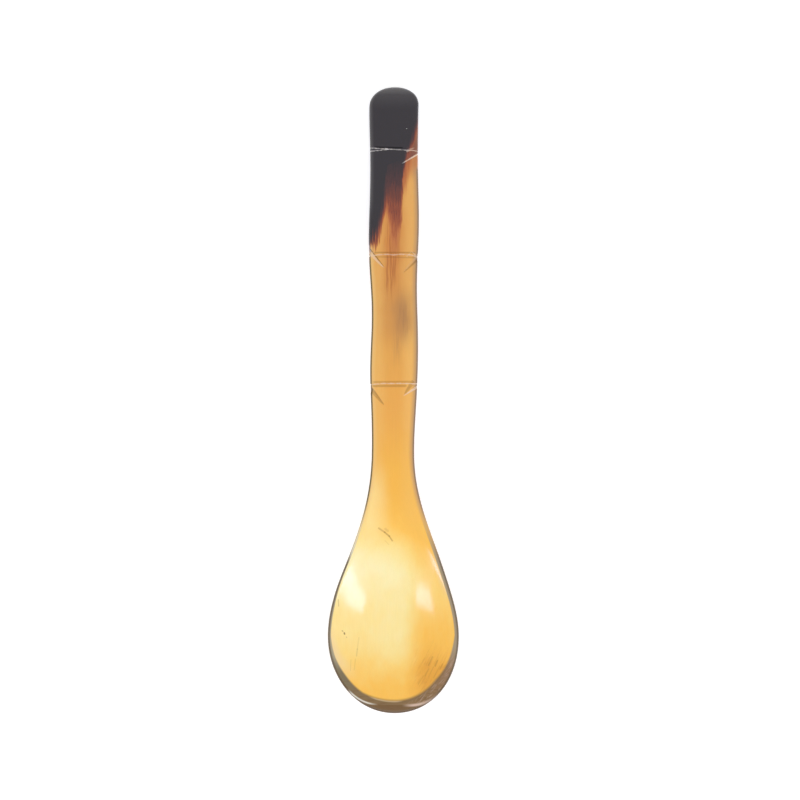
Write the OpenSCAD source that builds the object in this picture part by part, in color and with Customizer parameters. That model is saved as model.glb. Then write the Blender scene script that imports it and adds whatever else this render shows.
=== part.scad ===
// Caviar spoon cut and polished from one piece of horn, its handle carved like jointed cane.
// It lies as it rests on a table: the handle's end and the underside of the bowl touch z = 0.
// X is the width, Y runs from the bowl's tip up to the handle's end, and Z is up.
// Lengths along the spoon are counted as s, from the handle's end to the bowl's tip.

/* [Handle lengths] */
// Length of the end segment, from the rounded end to the first joint
end_segment_l = 16.6; // [14:0.2:22]
// Length of the second segment, between the first and second joints
second_segment_l = 28; // [22:0.5:36]
// Length of the third segment, between the second and third joints
third_segment_l = 33.8; // [26:0.2:42]
// Length of the last segment, from the third joint to the neck
last_segment_l = 16.8; // [13:0.2:24]
// Length of the rounding at the handle's end
end_round_l = 5; // [3:0.5:8]
// Fullness of that rounding seen from above: 2 is an ellipse, more is squarer
end_fullness = 2.15; // [1.8:0.05:3]

/* [Handle widths] */
// Width where the rounded end meets the sides
end_w = 13; // [11:0.1:15]
// Width at the waist just below the first joint
upper_waist_w = 12.6; // [10.5:0.1:14.5]
// Width at the swelling above the second joint
upper_swell_w = 13.2; // [11:0.1:15]
// Width at the waist of the third segment
lower_waist_w = 12; // [10:0.1:14]
// Width at the swelling above the third joint
lower_swell_w = 12.55; // [10.5:0.05:14.5]
// Width at the neck, where the handle is narrowest
neck_w = 11.15; // [9:0.05:13]

/* [Handle section] */
// Thickness of the handle at its end
handle_t = 4.4; // [3:0.1:6]
// Fullness of the handle's oval section: 2 is an ellipse, more is squarer
handle_fullness = 2.6; // [2:0.1:4]
// Height of the underside above the table at the top of the arch
arch_h = 8.8; // [4:0.2:12]

/* [Bowl] */
// Length of the bowl, from the neck to the tip
bowl_l = 69.8; // [60:0.2:85]
// Greatest width of the bowl
bowl_w = 34.5; // [28:0.5:42]
// Length from the widest place to the tip
tip_l = 20.3; // [16:0.1:26]
// Length from the deepest place to the widest place, which is nearer the tip
deep_lead_l = 3.7; // [1:0.1:10]
// Lateness of the flare from the neck: 1 is even, more opens nearer the widest place
flare = 1.16; // [0.9:0.01:1.5]
// Fullness of the outline round the tip: 2 is an ellipse, more is squarer
tip_fullness = 2.05; // [1.8:0.05:3]
// Height of the rim above the table beside the deepest place
bowl_h = 8.4; // [7:0.1:14]
// Extra height of the rim at the tip
tip_lift = 0.6; // [0:0.1:3]
// Thickness of the wall under the deepest place
wall_t = 2; // [1.2:0.1:3.5]
// Length from the neck to where the dish starts
dish_start_l = 3; // [2:0.5:14]
// Flatness of the dish's floor: 2 is a plain bowl, more is flatter with steeper sides
dish_flatness = 1.9; // [1.7:0.1:3.5]
// Fullness of the bowl's underside: 2 is an ellipse, more is squarer
belly_fullness = 1.9; // [1.7:0.1:3]

/* [Rim] */
// Width of the rim on the left side of the bowl
rim_left_w = 0.8; // [0.5:0.1:2]
// Width of the rim on the right side of the bowl
rim_right_w = 1.4; // [0.5:0.1:2]
// Width of the rim at the tip
rim_tip_w = 3.3; // [2.6:0.1:5]
// Height of the rim above the underside where it leaves the neck
rim_start_h = 3.2; // [2:0.1:5]
// Width of the bevel along the rim's outer edge, at the sides
bevel_side_w = 0.3; // [0.1:0.05:0.45]
// Drop of the bevel at the sides
bevel_side_h = 0.9; // [0.3:0.1:1.5]
// Width of the bevel at the tip
bevel_tip_w = 2.3; // [0.6:0.1:2.5]
// Drop of the bevel at the tip
bevel_tip_h = 2; // [0.6:0.1:2.8]

/* [Carving] */
// Depth of the grooves round the joints
groove_depth = 0.35; // [0.1:0.05:0.8]
// Width of a groove along the middle of the handle
groove_mid_w = 0.5; // [0.3:0.05:1]
// Width of a groove where it turns over the handle's edges
groove_edge_w = 1; // [0.5:0.05:1.6]
// Angle between the walls of a bud nick
nick_angle = 100; // [60:5:130]

/* [Hidden] */

horn_colour = [0.86, 0.64, 0.3];

// Places along the spoon
joints = [
    end_segment_l,
    end_segment_l + second_segment_l,
    end_segment_l + second_segment_l + third_segment_l
];
neck = joints[2] + last_segment_l;
spoon_l = neck + bowl_l;
widest = spoon_l - tip_l;
deepest = widest - deep_lead_l;

// Where the waists and swellings lie, as shares of the segment each is in
upper_waist_share = 0.12;
upper_swell_share = 0.76;
lower_waist_share = 0.38;
lower_swell_share = 0.84;
width_marks = [
    [end_round_l, end_w],
    [joints[0] + upper_waist_share * second_segment_l, upper_waist_w],
    [joints[0] + upper_swell_share * second_segment_l, upper_swell_w],
    [joints[1] + lower_waist_share * third_segment_l, lower_waist_w],
    [joints[1] + lower_swell_share * third_segment_l, lower_swell_w],
    [neck, neck_w]
];

// The hand-cut centre line wanders a little: share of the length, then shift to the right
sway_marks = [
    [0, 0.4], [0.04, 0.1], [0.18, 0.2], [0.28, 0], [0.38, 0.35],
    [0.48, 0.1], [0.6, -0.12], [0.73, 0.2], [0.81, -0.08], [widest / spoon_l, -0.02], [1, 0.35]
];

// Height of the underside along the middle, and of the rim between the neck and the deepest place
keel_marks = [[end_round_l, 0], [neck, arch_h], [deepest, 0]];
rim_marks = [[neck, arch_h + rim_start_h], [deepest, bowl_h]];

// Bud nicks below the joints: joint, side, drop of the outer end, run down, reach inwards
nicks = [
    [0, 1, 1.1, 2.4, 3.7],
    [1, -1, -1.7, 4.8, 3.9],
    [1, 1, 0.1, 4.1, 3.5],
    [2, -1, 1.1, 4.1, 3.2],
    [2, 1, 0.7, 2.3, 3.2]
];
// Height of a nick's outer end, as a share of the handle's half thickness
nick_edge_share = 0.4;
// Height of the tool that cuts a nick, and how far it runs out past the edge
nick_tool_h = 1.6;
nick_overrun = 1.5;

// How late the rim's band and its bevel widen towards the tip, and how rounded the bevel is
rim_left_spread = 2.4;
rim_right_spread = 1.8;
bevel_spread = 12;
bevel_fullness = 1.5;

// Fineness of the skin: steps across the dish, the bevel and the underside, and along it
dish_steps = 10;
bevel_steps = 4;
belly_steps = 10;
top_steps = dish_steps + 1 + bevel_steps;
ring_points = top_steps + belly_steps + 1;
end_steps = 7;
tip_steps = 14;
handle_step = 4.2;
bowl_step = 2.4;
groove_guard = 1.2;

// Smooth step from 0 to 1
function ease(t) = let (c = min(1, max(0, t))) c * c * (3 - 2 * c);

function blend(a, b, t) = a + (b - a) * t;

// Value at s on a curve that passes level through each mark
function through(marks, s, i = 0) =
    s <= marks[i][0] || i == len(marks) - 1 ? marks[i][1]
    : s > marks[i + 1][0] ? through(marks, s, i + 1)
    : blend(marks[i][1], marks[i + 1][1], ease((s - marks[i][0]) / (marks[i + 1][0] - marks[i][0])));

// Width of the outline between the handle's rounding and the widest place
function width(s) =
    s < neck ? through(width_marks, s)
    : blend(neck_w, bowl_w, ease(pow((s - neck) / (widest - neck), flare)));

function sway(s) = through(sway_marks, s / spoon_l);
function keel(s) = through(keel_marks, s);

// Half the thickness of the handle, which follows its width
function half_t(s) = handle_t / 2 * through(width_marks, s) / end_w;

// Share of the dish in the section at s: 0 on the handle, 1 in the bowl
function dish_share(s) = ease((s - neck - dish_start_l) / (deepest - neck - dish_start_l));

// Superellipse from [1, 0] to [0, 1] for angles from 0 to 90
function oval(angle, fullness) = [
    pow(max(0, cos(angle)), 2 / fullness),
    pow(max(0, sin(angle)), 2 / fullness)
];

// Section of the handle, from the middle of the front round the edge to the middle of the back,
// as distances from the middle and heights
function handle_section(reach, mid, half) = concat(
    [for (i = [0 : top_steps]) let (p = oval(90 - 90 * i / top_steps, handle_fullness))
        [reach * p[0], mid + half * p[1]]],
    [for (i = [1 : belly_steps]) let (p = oval(90 * i / belly_steps, handle_fullness))
        [reach * p[0], mid - half * p[1]]]
);

// Section of the bowl in the same order: dish, flat rim, its bevel and belly
function bowl_section(reach, rim_z, base_z, rim_w, bevel_w, bevel_h) = let (
    dish_reach = reach - rim_w,
    depth = rim_z - base_z - wall_t,
    edge_z = rim_z - bevel_h
) concat(
    [for (i = [0 : dish_steps]) let (v = sin(90 * i / dish_steps))
        [dish_reach * v, rim_z - depth * (1 - pow(v, dish_flatness))]],
    [for (i = [0 : bevel_steps]) let (p = oval(90 - 90 * i / bevel_steps, bevel_fullness))
        [reach - bevel_w * (1 - p[0]), edge_z + bevel_h * p[1]]],
    [for (i = [1 : belly_steps]) let (p = oval(90 * i / belly_steps, belly_fullness))
        [reach * p[0], edge_z - (edge_z - base_z) * p[1]]]
);

// A ray of the skin leaves the middle line at from_s and ends on the outline at [out_x, out_s].
// Its section is turned into points in space, and a groove ray is moved to its side of the cut.
function ray_points(side, from_s, out_x, out_s, tipward, cut_side, cut_depth) = let (
    middle = [sway(from_s), from_s],
    outline = [sway(out_s) + side * out_x, out_s],
    reach = norm(outline - middle),
    half = half_t(from_s),
    keel_z = keel(from_s),
    rim_side_w = side < 0 ? rim_left_w : rim_right_w,
    rim_spread = side < 0 ? rim_left_spread : rim_right_spread,
    rim_w = blend(rim_side_w, rim_tip_w, pow(tipward, rim_spread)),
    bevel_growth = pow(tipward, bevel_spread),
    bevel_w = blend(bevel_side_w, bevel_tip_w, bevel_growth),
    bevel_h = blend(bevel_side_h, bevel_tip_h, bevel_growth),
    rim_z = through(rim_marks, from_s) + tip_lift * tipward * tipward,
    of_handle = handle_section(reach - cut_depth, keel_z + half, half - cut_depth),
    of_bowl = bowl_section(reach, rim_z, keel_z, rim_w, bevel_w, bevel_h),
    dish = dish_share(from_s)
) [
    for (i = [0 : ring_points - 1]) let (
        p = blend(of_handle[i], of_bowl[i], dish),
        place = blend(middle, outline, p[0] / reach),
        cut_w = blend(groove_mid_w, groove_edge_w, pow(p[0] / reach, 2))
    ) [place[0], spoon_l / 2 - place[1] - cut_side * cut_w / 2, p[1]]
];

// Rows of rays along the handle and bowl: [s, side of the groove, depth of the groove]
function plain_rows(from, to, step) = let (n = max(2, ceil((to - from) / step)))
    [for (i = [0 : n]) [blend(from, to, i / n), 0, 0]];
function groove_rows(s) = [[s, -1, 0], [s, 0, groove_depth], [s, 1, 0]];
rows = concat(
    plain_rows(end_round_l, joints[0] - groove_guard, handle_step),
    groove_rows(joints[0]),
    plain_rows(joints[0] + groove_guard, joints[1] - groove_guard, handle_step),
    groove_rows(joints[1]),
    plain_rows(joints[1] + groove_guard, joints[2] - groove_guard, handle_step),
    groove_rows(joints[2]),
    plain_rows(joints[2] + groove_guard, neck - bowl_step, handle_step),
    plain_rows(neck, deepest - bowl_step, bowl_step),
    plain_rows(deepest, widest, bowl_step)
);

// Rays down one side, from the handle's end to the bowl's tip; beyond the deepest place they fan out
// from there
function half_rays(side) = concat(
    [for (i = [0 : end_steps - 1]) let (p = oval(90 - 90 * i / end_steps, end_fullness))
        ray_points(side, end_round_l, end_w / 2 * p[0], end_round_l * (1 - p[1]), 0, 0, 0)],
    [for (row = rows)
        ray_points(side, min(row[0], deepest), width(row[0]) / 2, row[0], 0, row[1], row[2])],
    [for (i = [1 : tip_steps]) let (p = oval(90 * i / tip_steps, tip_fullness))
        ray_points(side, deepest, bowl_w / 2 * p[0], widest + tip_l * p[1], p[1], 0, 0)]
);

// The whole skin: down the right side and back up the left, sharing the two end rays
module skin() {
    right = half_rays(1);
    left = half_rays(-1);
    rays = concat(right, [for (i = [len(left) - 2 : -1 : 1]) left[i]]);
    points = [for (ray = rays) each ray];
    triangles = [
        for (r = [0 : len(rays) - 1]) let (a = r * ring_points, b = (r + 1) % len(rays) * ring_points)
            for (i = [0 : ring_points - 2])
                each [[a + i, b + i + 1, b + i], [a + i, a + i + 1, b + i + 1]]
    ];
    polyhedron(points, [for (t = triangles) if (spans(points, t)) t], convexity = 6);
}

// Whether a triangle's three corners are apart, which they aren't where a fan of rays starts
function spans(points, t) =
    points[t[0]] != points[t[1]] && points[t[1]] != points[t[2]] && points[t[2]] != points[t[0]];

// A bud nick: a V cut that starts on the front and deepens outwards and up over the edge
module nick(joint, side, drop, run, reach) {
    outer_s = joints[joint] + drop;
    inner_s = outer_s + run;
    inner_share = 1 - reach / (width(inner_s) / 2);
    inner_rise = pow(1 - pow(inner_share, handle_fullness), 1 / handle_fullness);
    inner = [
        sway(inner_s) + side * inner_share * width(inner_s) / 2,
        spoon_l / 2 - inner_s,
        keel(inner_s) + half_t(inner_s) * (1 + inner_rise)
    ];
    outer = [
        sway(outer_s) + side * width(outer_s) / 2,
        spoon_l / 2 - outer_s,
        keel(outer_s) + half_t(outer_s) * (1 + nick_edge_share)
    ];
    along = outer - inner;
    plan_l = norm([along[0], along[1]]);
    half_w = nick_tool_h * tan(nick_angle / 2);
    translate(inner)
        rotate([0, -atan2(along[2], plan_l), atan2(along[1], along[0])])
            rotate([90, 0, 90])
                linear_extrude(norm(along) + nick_overrun)
                    polygon([[0, 0], [half_w, nick_tool_h], [-half_w, nick_tool_h]]);
}

module spoon() {
    color(horn_colour)
        difference() {
            skin();
            for (n = nicks) nick(n[0], n[1], n[2], n[3], n[4]);
        }
}

spoon();
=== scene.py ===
import math

import bmesh
import bpy
import numpy as np
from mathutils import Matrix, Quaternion, Vector


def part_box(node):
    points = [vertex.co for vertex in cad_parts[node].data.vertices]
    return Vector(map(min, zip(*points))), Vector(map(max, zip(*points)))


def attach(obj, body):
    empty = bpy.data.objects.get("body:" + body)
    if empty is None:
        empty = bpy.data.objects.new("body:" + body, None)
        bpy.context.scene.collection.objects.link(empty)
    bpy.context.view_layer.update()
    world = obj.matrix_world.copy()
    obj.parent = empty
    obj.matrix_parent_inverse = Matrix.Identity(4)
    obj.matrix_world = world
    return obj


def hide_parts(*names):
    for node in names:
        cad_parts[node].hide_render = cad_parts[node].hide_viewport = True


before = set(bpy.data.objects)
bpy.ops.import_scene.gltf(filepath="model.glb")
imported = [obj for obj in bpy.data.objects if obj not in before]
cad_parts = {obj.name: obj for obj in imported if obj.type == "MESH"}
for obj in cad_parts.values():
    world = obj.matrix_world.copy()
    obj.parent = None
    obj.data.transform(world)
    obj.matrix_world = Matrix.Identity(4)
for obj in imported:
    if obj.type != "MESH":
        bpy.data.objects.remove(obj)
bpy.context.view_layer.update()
lowest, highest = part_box("spoon")
print("frame loaded: spoon from", tuple(lowest), "to", tuple(highest))

mm = 0.001
spoonLength = (highest.y - lowest.y) / mm
bowlWidth = (highest.x - lowest.x) / mm


# small helpers for shapes

def ease(t):
    c = np.clip(t, 0.0, 1.0)
    return c * c * (3.0 - 2.0 * c)


def blend(a, b, t):
    return a + (b - a) * t


def levelCurve(marks, s):
    # passes level through each mark (place, value)
    s = np.asarray(s, float)
    value = np.full(s.shape, float(marks[0][1]))
    for (startS, startValue), (endS, endValue) in zip(marks, marks[1:]):
        share = ease((s - startS) / (endS - startS))
        value = np.where(s > startS, blend(startValue, endValue, share), value)
    return value


def oval(angle, fullness):
    # superellipse from (1, 0) to (0, 1) for angles from 0 to a quarter turn
    across = np.clip(np.cos(angle), 0.0, None) ** (2.0 / fullness)
    up = np.clip(np.sin(angle), 0.0, None) ** (2.0 / fullness)
    return across, up


# the spoon's shape, in millimetres; s is the distance from the handle's end

spoonShape = {
    "segments": (16.6, 28.0, 33.8, 16.8),      # handle, from its end to the neck
    "endRound": 5.0,
    "endFullness": 2.15,
    "endWidth": 13.0,
    # after which joint, share of the segment there, width
    "waistsAndSwells": ((0, 0.12, 12.6), (0, 0.76, 13.2), (1, 0.38, 12.0), (1, 0.84, 12.55)),
    "neckWidth": 11.15,
    "handleThickness": 4.4,
    "handleFullness": 2.6,
    "archHeight": 8.8,
    "tipReach": 20.3,                          # from the widest place to the tip
    "deepReach": 24.0,                         # from the deepest place to the tip
    "flare": 1.16,
    "tipFullness": 2.05,
    "rimHeight": 8.4,
    "tipLift": 0.6,
    "wall": 2.0,
    "dishStart": 3.0,                          # past the neck
    "dishFlatness": 1.9,
    "bellyFullness": 1.9,
    # the rim's width where it turns toward the tip: share of the turn, width
    "rimLeft": ((0.0, 0.8), (0.3, 1.25), (0.6, 2.05), (0.85, 2.5), (1.0, 3.3)),
    "rimRight": ((0.0, 1.1), (0.3, 1.8), (0.5, 2.35), (0.7, 3.05), (1.0, 3.3)),
    "rimStart": 3.2,
    "bevelWidths": (0.3, 2.3),                 # bevel outside the rim's flat land, at the sides and the tip
    "bevelDrops": (0.9, 2.0),
    "bevelSpread": 12.0,
    "bevelFullness": 1.5,
    # how far the middle line strays to the right: share of the length, distance
    "sway": ((0.0, 0.4), (0.04, 0.1), (0.18, 0.2), (0.28, 0.0), (0.38, 0.35),
             (0.48, 0.1), (0.6, -0.12), (0.73, 0.2), (0.81, -0.08), (0.877, -0.02),
             (1.0, 0.35)),
}

joints = np.cumsum(spoonShape["segments"])[:3]
neck = float(sum(spoonShape["segments"]))
widest = spoonLength - spoonShape["tipReach"]
deepest = spoonLength - spoonShape["deepReach"]

widthMarks = [(spoonShape["endRound"], spoonShape["endWidth"])]
for jointIndex, share, markWidth in spoonShape["waistsAndSwells"]:
    markPlace = joints[jointIndex] + share * spoonShape["segments"][jointIndex + 1]
    widthMarks.append((markPlace, markWidth))
widthMarks.append((neck, spoonShape["neckWidth"]))
swayMarks = [(share * spoonLength, shift) for share, shift in spoonShape["sway"]]
keelMarks = [(spoonShape["endRound"], 0.0), (neck, spoonShape["archHeight"]), (deepest, 0.0)]
rimMarks = [(neck, spoonShape["archHeight"] + spoonShape["rimStart"]), (deepest, spoonShape["rimHeight"])]


def outlineWidth(s):
    flared = ease(np.clip((s - neck) / (widest - neck), 0.0, 1.0) ** spoonShape["flare"])
    return np.where(s < neck, levelCurve(widthMarks, s), blend(spoonShape["neckWidth"], bowlWidth, flared))


def halfThickness(s):
    return spoonShape["handleThickness"] / 2 * levelCurve(widthMarks, s) / spoonShape["endWidth"]


def dishShare(s):
    dishBegins = neck + spoonShape["dishStart"]
    return ease((s - dishBegins) / (deepest - dishBegins))


# how finely the skin is drawn

skinDetail = {
    "dishSteps": 40,
    "landSteps": 4,
    "roundSteps": 16,
    "bellySteps": 32,
    "endRays": 36,
    "tipRays": 56,
    "handleStep": 0.9,
    "bowlStep": 0.55,
    "carvedStep": 0.11,
    "carvedSpans": ((-1.3, 4.0), (-2.2, 4.7), (-1.3, 5.6)),   # fine rows round each joint
    "weld": 0.002,                      # points closer than this become one
    "sliver": 0.0005,                   # edges shorter than this are taken out
    "thinnestCut": 1e-6,                # a cut is never narrower, so that it can be divided by
    "tiniestPatch": 1e-9,               # a smaller patch of skin has no direction of its own
}

topSteps = skinDetail["dishSteps"] + skinDetail["landSteps"] + skinDetail["roundSteps"]
ringPoints = topSteps + skinDetail["bellySteps"] + 1


def rowPlaces():
    # places of the rows along the handle and bowl, closer together where the joints are carved
    spans = []
    reached = spoonShape["endRound"]
    for joint, (before, after) in zip(joints, skinDetail["carvedSpans"]):
        spans.append((reached, joint + before, skinDetail["handleStep"]))
        spans.append((joint + before, joint + after, skinDetail["carvedStep"]))
        reached = joint + after
    spans.append((reached, neck, skinDetail["handleStep"]))
    spans.append((neck, deepest, skinDetail["bowlStep"]))
    spans.append((deepest, widest, skinDetail["bowlStep"]))
    places = [np.linspace(a, b, max(2, round((b - a) / step)), endpoint=False) for a, b, step in spans]
    return np.append(np.concatenate(places), widest)


def halfRays(side):
    # one ray per row: where it leaves the middle line, where it ends, and how far it turns to the tip;
    # past the deepest place all rays fan out from there
    turnEnd = np.radians(np.linspace(0, 90, skinDetail["endRays"], endpoint=False))
    turnTip = np.radians(np.linspace(0, 90, skinDetail["tipRays"] + 1)[1:])
    rows = rowPlaces()
    endRound = spoonShape["endRound"]
    fromS = np.concatenate([np.full(turnEnd.size, endRound),
                            np.minimum(rows, deepest),
                            np.full(turnTip.size, deepest)])
    endAcross, endUp = oval(np.pi / 2 - turnEnd, spoonShape["endFullness"])
    tipAcross, tipDown = oval(turnTip, spoonShape["tipFullness"])
    outX = np.concatenate([spoonShape["endWidth"] / 2 * endAcross,
                           outlineWidth(rows) / 2,
                           bowlWidth / 2 * tipAcross])
    outS = np.concatenate([endRound * (1 - endUp), rows, widest + spoonShape["tipReach"] * tipDown])
    tipward = np.concatenate([np.zeros(turnEnd.size + rows.size), tipDown])
    return fromS, side * outX, outS, tipward, np.full(fromS.size, float(side))


def handleSection(reach, mid, half):
    upper = np.radians(90 - 90 * np.arange(topSteps + 1) / topSteps)
    lower = np.radians(90 * np.arange(1, skinDetail["bellySteps"] + 1) / skinDetail["bellySteps"])
    upperAcross, upperUp = oval(upper, spoonShape["handleFullness"])
    lowerAcross, lowerUp = oval(lower, spoonShape["handleFullness"])
    across = np.concatenate([upperAcross, lowerAcross])
    rise = np.concatenate([upperUp, -lowerUp])
    return reach[:, None] * across, mid[:, None] + half[:, None] * rise


def bowlSection(reach, rimZ, baseZ, rimWidth, bevelWidth, bevelDrop):
    outward = np.sin(np.radians(90 * np.arange(skinDetail["dishSteps"] + 1) / skinDetail["dishSteps"]))
    landShare = np.arange(1, skinDetail["landSteps"] + 1) / skinDetail["landSteps"]
    turn = np.radians(90 - 90 * np.arange(1, skinDetail["roundSteps"] + 1) / skinDetail["roundSteps"])
    lower = np.radians(90 * np.arange(1, skinDetail["bellySteps"] + 1) / skinDetail["bellySteps"])
    dishReach = (reach - rimWidth)[:, None]
    landReach = (reach - bevelWidth)[:, None]
    edgeZ = (rimZ - bevelDrop)[:, None]
    bevelAcross, bevelUp = oval(turn, spoonShape["bevelFullness"])
    depth = (rimZ - baseZ - spoonShape["wall"])[:, None]
    bellyAcross, bellyDown = oval(lower, spoonShape["bellyFullness"])
    across = np.hstack([dishReach * outward,
                        blend(dishReach, landReach, landShare),
                        landReach + bevelWidth[:, None] * bevelAcross,
                        reach[:, None] * bellyAcross])
    height = np.hstack([rimZ[:, None] - depth * (1 - outward ** spoonShape["dishFlatness"]),
                        np.repeat(rimZ[:, None], landShare.size, axis=1),
                        edgeZ + bevelDrop[:, None] * bevelUp,
                        edgeZ - (edgeZ - baseZ[:, None]) * bellyDown])
    return across, height


def smoothSkin():
    # every ray's section turned into points: x and z in millimetres, s along the spoon
    right = halfRays(1)
    left = halfRays(-1)
    fromS, outX, outS, tipward, side = [np.concatenate([a, b[-2:0:-1]]) for a, b in zip(right, left)]
    middleX = levelCurve(swayMarks, fromS)
    outlineX = levelCurve(swayMarks, outS) + outX
    reach = np.hypot(outlineX - middleX, outS - fromS)
    half = halfThickness(fromS)
    keelZ = levelCurve(keelMarks, fromS)
    leftRim = np.interp(tipward, *zip(*spoonShape["rimLeft"]))
    rightRim = np.interp(tipward, *zip(*spoonShape["rimRight"]))
    rimWidth = np.where(side < 0, leftRim, rightRim)
    bevelGrowth = tipward ** spoonShape["bevelSpread"]
    bevelWidth = blend(*spoonShape["bevelWidths"], bevelGrowth)
    bevelDrop = blend(*spoonShape["bevelDrops"], bevelGrowth)
    rimZ = levelCurve(rimMarks, fromS) + spoonShape["tipLift"] * tipward ** 2
    dish = dishShare(fromS)[:, None]
    handleAcross, handleZ = handleSection(reach, keelZ + half, half)
    bowlAcross, bowlZ = bowlSection(reach, rimZ, keelZ, rimWidth, bevelWidth, bevelDrop)
    across = blend(handleAcross, bowlAcross, dish)
    share = across / reach[:, None]
    x = blend(middleX[:, None], outlineX[:, None], share)
    s = blend(fromS[:, None], outS[:, None], share)
    z = blend(handleZ, bowlZ, dish)
    fromEdge = reach[:, None] - across
    return {"x": x, "s": s, "z": z, "dish": np.repeat(dish, ringPoints, axis=1), "fromEdge": fromEdge,
            "rimPlace": 1.0 - fromEdge / rimWidth[:, None], "crease": fromEdge - bevelWidth[:, None]}


def skinNormals(x, s, z):
    # outward directions from the neighbours of each point
    points = np.stack([x, -s, z], axis=-1)
    alongRays = np.roll(points, -1, axis=0) - np.roll(points, 1, axis=0)
    downRay = np.gradient(points, axis=1)
    normals = np.cross(alongRays, downRay)
    size = np.linalg.norm(normals, axis=-1, keepdims=True)
    tiny = skinDetail["tiniestPatch"]
    upright = np.zeros_like(normals)
    upright[:, :topSteps, 2] = 1.0
    upright[:, topSteps:, 2] = -1.0
    return np.where(size > tiny, normals / np.maximum(size, tiny), upright)


# the carving: grooves round the joints and bud nicks beside them, as (x, s) points in millimetres

carving = {
    # each groove: its path, width in the middle and at the sides, depth, frost
    "grooves": (
        {"path": ((-6.8, 16.0), (-5.4, 16.15), (-3.3, 16.3), (-1.7, 16.43), (-0.4, 16.44), (1.2, 16.6),
                  (2.6, 16.62), (3.8, 16.8), (5.2, 16.78), (6.6, 16.98)),
         "width": 0.24, "sideWidth": 0.3, "depth": 0.14, "frost": 0.68},
        {"path": ((-7.0, 44.8), (-5.4, 44.5), (-3.6, 44.32), (-1.6, 44.2), (0.0, 44.35), (1.8, 44.2),
                  (3.4, 44.25), (4.6, 44.4), (6.9, 45.0)),
         "width": 0.34, "sideWidth": 0.5, "depth": 0.18, "frost": 0.76},
        {"path": ((-6.4, 78.55), (-4.6, 78.4), (-2.6, 78.2), (-0.6, 78.22), (1.6, 78.2), (3.6, 78.24),
                  (6.4, 78.32)),
         "width": 0.34, "sideWidth": 0.4, "depth": 0.18, "frost": 0.9},
    ),
    # each nick: its blunt and pointed ends, the widths of its upper and lower sides, its depth, and the
    # frosts and painted shade of those two sides
    "nicks": (
        ((-6.9, 17.05), (-1.3, 16.5), (0.15, 0.15), 0.12, (0.6, 0.75), (0.0, 0.0)),
        ((-1.95, 16.42), (-1.2, 16.44), (0.28, 0.28), 0.08, (1.0, 1.0), (0.0, 0.0)),
        ((6.9, 17.5), (2.3, 20.2), (0.28, 0.26), 0.18, (1.0, 1.0), (0.0, 0.0)),
        ((3.9, 16.75), (5.6, 16.0), (0.4, 0.4), 0.08, (0.3, 0.35), (0.0, 0.0)),
        ((-7.2, 42.0), (-2.4, 47.7), (0.62, 1.2), 0.34, (0.0, 0.62), (0.85, 0.0)),
        ((-6.9, 44.7), (-5.2, 43.6), (0.22, 0.3), 0.1, (0.5, 0.7), (0.0, 0.0)),
        ((6.7, 44.9), (2.6, 49.0), (1.0, 0.7), 0.26, (0.1, 0.0), (0.1, 0.5)),
        ((6.4, 44.9), (4.7, 43.3), (0.2, 0.3), 0.1, (0.35, 0.6), (0.0, 0.0)),
        ((3.9, 44.6), (4.9, 43.3), (0.25, 0.2), 0.08, (0.35, 0.0), (0.0, 0.25)),
        ((-6.3, 79.0), (-2.4, 83.9), (0.6, 0.95), 0.32, (0.0, 0.0), (0.62, 0.42)),
        ((6.7, 78.9), (2.6, 81.5), (0.45, 0.36), 0.2, (0.6, 0.95), (0.0, 0.0)),
        ((4.9, 78.5), (2.9, 81.2), (0.9, 0.4), 0.16, (0.0, 0.0), (0.5, 0.35)),
    ),
    # shallow scores beside the grooves, darkened with painted shade: two ends, width, darkness
    "scores": (
        ((-5.2, 15.85), (2.8, 16.05), 0.42, 1.0),
        ((-5.4, 43.72), (6.2, 43.78), 0.62, 0.5),
        ((-5.0, 44.85), (6.2, 45.1), 0.6, 0.36),
        ((-5.8, 77.85), (5.6, 77.75), 0.8, 0.42),
        ((-5.8, 78.85), (3.8, 78.85), 0.95, 0.45),
    ),
    # the hand's unevenness: how much, and how quick across the spoon
    "widthWobble": ((0.25, 3.1), (0.15, 7.7)),
    "backWander": (0.12, 1.9),
    "backBlend": 8.0,                   # steps past the edge in which a groove finds its line on the back
    "sideGrowth": 3,                    # how late a groove widens towards its sides
    "frontOverrun": 3,                  # steps that the nicks and scores run on round the edge
    "nickOverrun": 0.3,                 # share of its length that a nick runs on past its blunt end
    "scoreEnds": 12.0,                  # how quickly a score fades at its ends
    "scoreDepth": 0.03,
    # how hard the edges of the frost and the darkness are
    "grooveHardness": 1.8,
    "nickHardness": 2.6,
    "scoreHardness": 1.4,
    "taperHardness": 3.0,
}


def strokeDistance(x, s, start, end):
    # distance from a straight stroke, negative above it and positive below, and the share along it
    direction = np.array(end) - np.array(start)
    span = float(np.hypot(*direction))
    along = ((x - start[0]) * direction[0] + (s - start[1]) * direction[1]) / span ** 2
    beside = ((x - start[0]) * direction[1] - (s - start[1]) * direction[0]) / span
    if direction[0] > 0:
        beside = -beside
    return beside, along


def vCut(away, width):
    return np.clip(1.0 - away / np.maximum(width, skinDetail["thinnestCut"]), 0.0, 1.0)


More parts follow.
